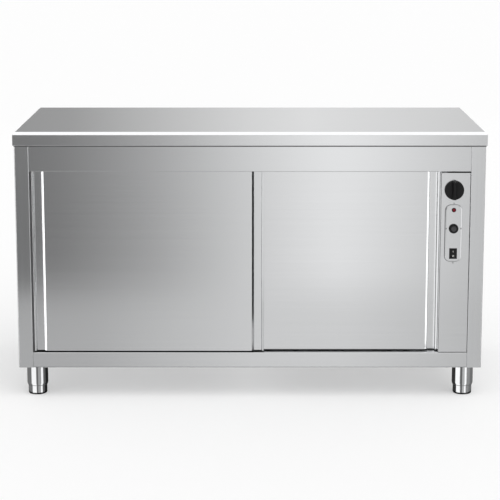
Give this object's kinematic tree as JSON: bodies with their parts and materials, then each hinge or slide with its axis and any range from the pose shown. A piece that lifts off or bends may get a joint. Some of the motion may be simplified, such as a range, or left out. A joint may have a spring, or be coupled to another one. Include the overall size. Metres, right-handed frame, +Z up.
{
  "type": "plate warmer cabinet",
  "caption": "Free-standing stainless steel plate warmer cabinet with sliding doors, a worktop, a side control panel and adjustable round feet.",
  "frame": {"origin": "on the floor under the middle of the worktop", "axes": "+Z up, +X to the right of someone who faces the doors, +Y from the doors to the back"},
  "size_m": [1.5, 0.7314, 0.864],
  "materials": {
    "brushed_steel": "satin",
    "brushed_steel_upright": "satin",
    "back_steel": "satin",
    "liner_steel": "satin",
    "galvanised_steel": "matte",
    "track_aluminium": "satin",
    "polished_steel": "polished",
    "control_plate_steel": "satin",
    "screw_steel": "gloss",
    "core_board": "matte",
    "mineral_wool": "matte",
    "white_nylon": "satin",
    "black_rubber": "matte",
    "black_plastic": "satin",
    "red_lens": "gloss",
    "motor_black": "satin",
    "fan_aluminium": "satin",
    "heater_sheath": "matte",
    "terminal_plastic": "satin"
  },
  "bodies": {
    "cabinet": {"worktop_skin": "brushed_steel", "worktop_core": "core_board", "worktop_stiffeners": "galvanised_steel", "left_side_shell": "brushed_steel_upright", "right_side_shell": "brushed_steel_upright", "base_tray": "brushed_steel", "back_shell": "back_steel", "ceiling_tray": "liner_steel", "front_fascia": "brushed_steel", "track_carrier": "galvanised_steel", "bay_wall": "galvanised_steel", "partition_pan": "liner_steel", "left_liner": "liner_steel", "back_liner": "liner_steel", "floor_panel": "liner_steel", "wall_insulation": "mineral_wool", "door_tracks": "track_aluminium", "door_buffers": "black_rubber", "door_guide": "black_plastic", "shelf": "liner_steel", "shelf_uprights": "liner_steel", "shelf_clips": "liner_steel", "duct_panel": "liner_steel", "fan_motor": "motor_black", "heating_ring": "heater_sheath", "control_panel": "brushed_steel", "control_plate": "control_plate_steel", "thermostat_body": "black_plastic", "indicator_lamp": "red_lens", "button_housing": "black_plastic", "rocker_housing": "black_plastic", "case_screws": "screw_steel", "rear_cover": "brushed_steel", "cable_gland": "black_plastic", "terminal_block": "terminal_plastic", "foot_sleeves": "polished_steel"},
    "left_door": {"left_door_skin": "brushed_steel", "left_door_back": "liner_steel", "left_door_core": "mineral_wool", "left_door_edge_bars": "galvanised_steel", "left_door_hangers": "galvanised_steel"},
    "right_door": {"right_door_skin": "brushed_steel", "right_door_back": "liner_steel", "right_door_core": "mineral_wool", "right_door_edge_bars": "galvanised_steel", "right_door_hangers": "galvanised_steel"},
    "left_door_wheel_left": {"left_door_wheel_left": "white_nylon"},
    "left_door_wheel_right": {"left_door_wheel_right": "white_nylon"},
    "right_door_wheel_left": {"right_door_wheel_left": "white_nylon"},
    "right_door_wheel_right": {"right_door_wheel_right": "white_nylon"},
    "thermostat_knob": {"thermostat_knob": "black_plastic", "thermostat_spindle": "screw_steel"},
    "push_button": {"push_button": "black_plastic"},
    "rocker": {"rocker": "black_plastic"},
    "fan_impeller": {"fan_impeller": "fan_aluminium"},
    "foot_front_left": {"foot_front_left": "polished_steel"},
    "foot_front_right": {"foot_front_right": "polished_steel"},
    "foot_rear_left": {"foot_rear_left": "polished_steel"},
    "foot_rear_right": {"foot_rear_right": "polished_steel"}
  },
  "joints": [
    {"name": "left_door_slide", "type": "slide", "parent": "cabinet", "child": "left_door", "axis": [1, 0, 0], "range_m": [0, 0.5605]},
    {"name": "right_door_slide", "type": "slide", "parent": "cabinet", "child": "right_door", "axis": [1, 0, 0], "range_m": [-0.5605, 0]},
    {"name": "left_door_wheel_left_spin", "type": "hinge", "parent": "left_door", "child": "left_door_wheel_left", "pos_m": [-0.6345, -0.33225, 0.7773], "axis": [0, 1, 0], "range_deg": [-1, 2923.4]},
    {"name": "left_door_wheel_right_spin", "type": "hinge", "parent": "left_door", "child": "left_door_wheel_right", "pos_m": [-0.0155, -0.33225, 0.7773], "axis": [0, 1, 0], "range_deg": [-1, 2923.4]},
    {"name": "right_door_wheel_left_spin", "type": "hinge", "parent": "right_door", "child": "right_door_wheel_left", "pos_m": [-0.074, -0.31175, 0.7773], "axis": [0, 1, 0], "range_deg": [-2923.4, 1]},
    {"name": "right_door_wheel_right_spin", "type": "hinge", "parent": "right_door", "child": "right_door_wheel_right", "pos_m": [0.545, -0.31175, 0.7773], "axis": [0, 1, 0], "range_deg": [-2923.4, 1]},
    {"name": "thermostat_turn", "type": "hinge", "parent": "cabinet", "child": "thermostat_knob", "pos_m": [0.648, -0.347, 0.679], "axis": [0, 1, 0], "range_deg": [0, 270]},
    {"name": "push_button_press", "type": "slide", "parent": "cabinet", "child": "push_button", "axis": [0, 1, 0], "range_m": [0, 0.004], "stiffness_N_per_m": 400},
    {"name": "rocker_tilt", "type": "hinge", "parent": "cabinet", "child": "rocker", "pos_m": [0.648, -0.3475, 0.474], "axis": [1, 0, 0], "range_deg": [0, 18]},
    {"name": "fan_spin", "type": "hinge", "parent": "cabinet", "child": "fan_impeller", "pos_m": [0.52, 0.01, 0.465], "axis": [1, 0, 0], "continuous": true},
    {"name": "foot_front_left_adjust", "type": "slide", "parent": "cabinet", "child": "foot_front_left", "axis": [0, 0, 1], "range_m": [-0.012, 0.014]},
    {"name": "foot_front_right_adjust", "type": "slide", "parent": "cabinet", "child": "foot_front_right", "axis": [0, 0, 1], "range_m": [-0.012, 0.014]},
    {"name": "foot_rear_left_adjust", "type": "slide", "parent": "cabinet", "child": "foot_rear_left", "axis": [0, 0, 1], "range_m": [-0.012, 0.014]},
    {"name": "foot_rear_right_adjust", "type": "slide", "parent": "cabinet", "child": "foot_rear_right", "axis": [0, 0, 1], "range_m": [-0.012, 0.014]}
  ],
  "couplings": [
    {"joint": "left_door_wheel_left_spin", "follows": "left_door_slide", "rad_per_m": 90.909},
    {"joint": "left_door_wheel_right_spin", "follows": "left_door_slide", "rad_per_m": 90.909},
    {"joint": "right_door_wheel_left_spin", "follows": "right_door_slide", "rad_per_m": 90.909},
    {"joint": "right_door_wheel_right_spin", "follows": "right_door_slide", "rad_per_m": 90.909}
  ]
}
